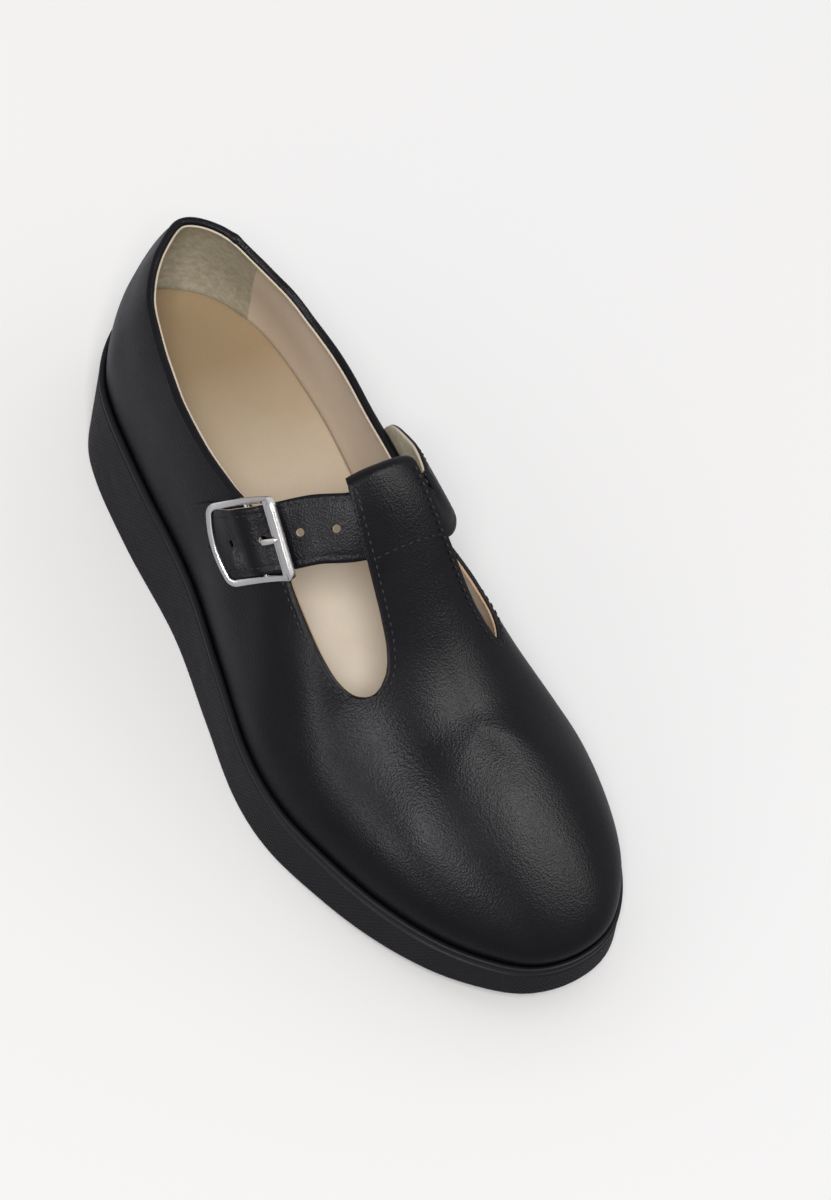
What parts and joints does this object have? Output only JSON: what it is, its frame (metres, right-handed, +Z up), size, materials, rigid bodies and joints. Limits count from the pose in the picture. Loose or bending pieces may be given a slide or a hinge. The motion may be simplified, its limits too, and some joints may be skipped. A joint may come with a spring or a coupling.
{
  "type": "platform shoe",
  "caption": "Right-foot platform shoe with a T-bar, an ankle strap with a square pin buckle and a wedge rubber sole with cross grooves.",
  "frame": {"origin": "on the floor under the middle of the heel", "axes": "+X to the toe, +Y to the inner side of the foot, +Z up from the floor"},
  "size_m": [0.265, 0.097, 0.1095],
  "materials": {
    "sole_rubber": "matte moulded rubber with a fine knurl",
    "upper_leather": "smooth black leather, satin",
    "lining_leather": "beige lining leather, matt",
    "buckle_metal": "polished silver-coloured metal"
  },
  "bodies": {
    "root": {"sole": "sole_rubber", "upper": "upper_leather", "insole": "lining_leather", "collar_binding": "upper_leather", "strap": "upper_leather", "buckle_tab": "upper_leather", "buckle_frame": "buckle_metal", "buckle_prong": "buckle_metal"}
  },
  "joints": []
}
